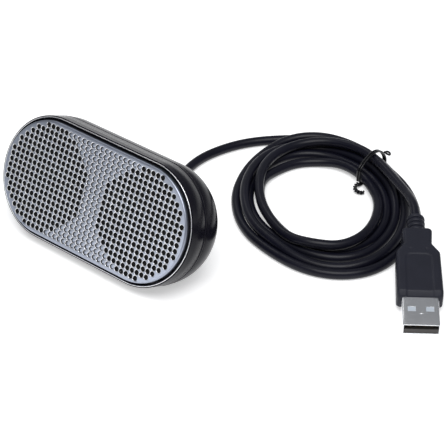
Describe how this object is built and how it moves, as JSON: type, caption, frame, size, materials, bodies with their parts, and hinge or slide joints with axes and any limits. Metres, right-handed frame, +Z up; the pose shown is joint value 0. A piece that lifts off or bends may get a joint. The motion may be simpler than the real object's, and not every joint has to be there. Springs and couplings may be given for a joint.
{
  "type": "desktop speaker",
  "caption": "Small desktop speaker bar: racetrack face with a perforated metal grille leaning back on a rounded case, and a coiled captive USB cable with its plug.",
  "frame": {"origin": "under the middle of the speaker's own box, on the surface it stands on; the cable, its coil and its plug aren't counted", "axes": "+X to the listener's right along the face, +Y to the back, +Z up; the face looks along -Y and leans back"},
  "size_m": [0.1573, 0.1217, 0.0424],
  "materials": {
    "grille_metal": "satin",
    "trim_bright": "polished",
    "case_plastic": "satin gloss",
    "cloth": "matte",
    "cable_jacket": "satin",
    "soft_rubber": "matte",
    "foam": "matte foam",
    "tie_plastic": "matte",
    "overmould_plastic": "fine matte",
    "nickel": "bright nickel",
    "insulator_plastic": "matte",
    "contact_gold": "polished",
    "plain_steel": "plain",
    "magnet_ferrite": "matte",
    "coil_copper": "enamelled wire",
    "cone_paper": "matte pressed paper",
    "board": "solder mask",
    "chip_plastic": "matte",
    "can_metal": "satin"
  },
  "bodies": {
    "speaker": {"amplifier_chip": "chip_plastic", "audio_chip": "chip_plastic", "basket_left": "plain_steel", "basket_right": "plain_steel", "board_screw_left": "plain_steel", "board_screw_right": "plain_steel", "capacitor_left": "can_metal", "capacitor_right": "can_metal", "case_screw_lower": "plain_steel", "case_screw_upper": "plain_steel", "circuit_board": "board", "crystal": "plain_steel", "dust_cloth": "cloth", "foot_left": "soft_rubber", "foot_right": "soft_rubber", "front_shell": "case_plastic", "gasket_left": "foam", "gasket_right": "foam", "grille_plate": "grille_metal", "inductor": "chip_plastic", "magnet_left": "magnet_ferrite", "magnet_right": "magnet_ferrite", "plug_boot": "overmould_plastic", "plug_contact_1": "contact_gold", "plug_contact_2": "contact_gold", "plug_contact_3": "contact_gold", "plug_contact_4": "contact_gold", "plug_insulator": "insulator_plastic", "plug_overmould": "overmould_plastic", "plug_shell": "nickel", "pole_plate_left": "plain_steel", "pole_plate_right": "plain_steel", "rear_shell": "case_plastic", "speaker_wire_left": "cable_jacket", "speaker_wire_right": "cable_jacket", "spider_left": "cloth", "spider_right": "cloth", "strain_relief": "soft_rubber", "surround_left": "soft_rubber", "surround_right": "soft_rubber", "trim_ring": "trim_bright", "twist_tie": "tie_plastic", "usb_cable_coil": "cable_jacket", "usb_cable_run": "cable_jacket", "usb_cable_tail": "cable_jacket", "usb_lead_inside": "cable_jacket", "yoke_left": "plain_steel", "yoke_right": "plain_steel"},
    "left_diaphragm": {"cone_left": "cone_paper", "dust_cap_left": "cone_paper", "voice_coil_left": "coil_copper"},
    "right_diaphragm": {"cone_right": "cone_paper", "dust_cap_right": "cone_paper", "voice_coil_right": "coil_copper"}
  },
  "joints": [
    {"name": "left_cone_travel", "type": "slide", "parent": "speaker", "child": "left_diaphragm", "axis": [0, -0.9078, 0.4195], "range_m": [-0.0008, 0.0008], "stiffness_N_per_m": 600, "deforming": ["surround_left", "spider_left"]},
    {"name": "right_cone_travel", "type": "slide", "parent": "speaker", "child": "right_diaphragm", "axis": [0, -0.9078, 0.4195], "range_m": [-0.0008, 0.0008], "stiffness_N_per_m": 600, "deforming": ["surround_right", "spider_right"]}
  ]
}
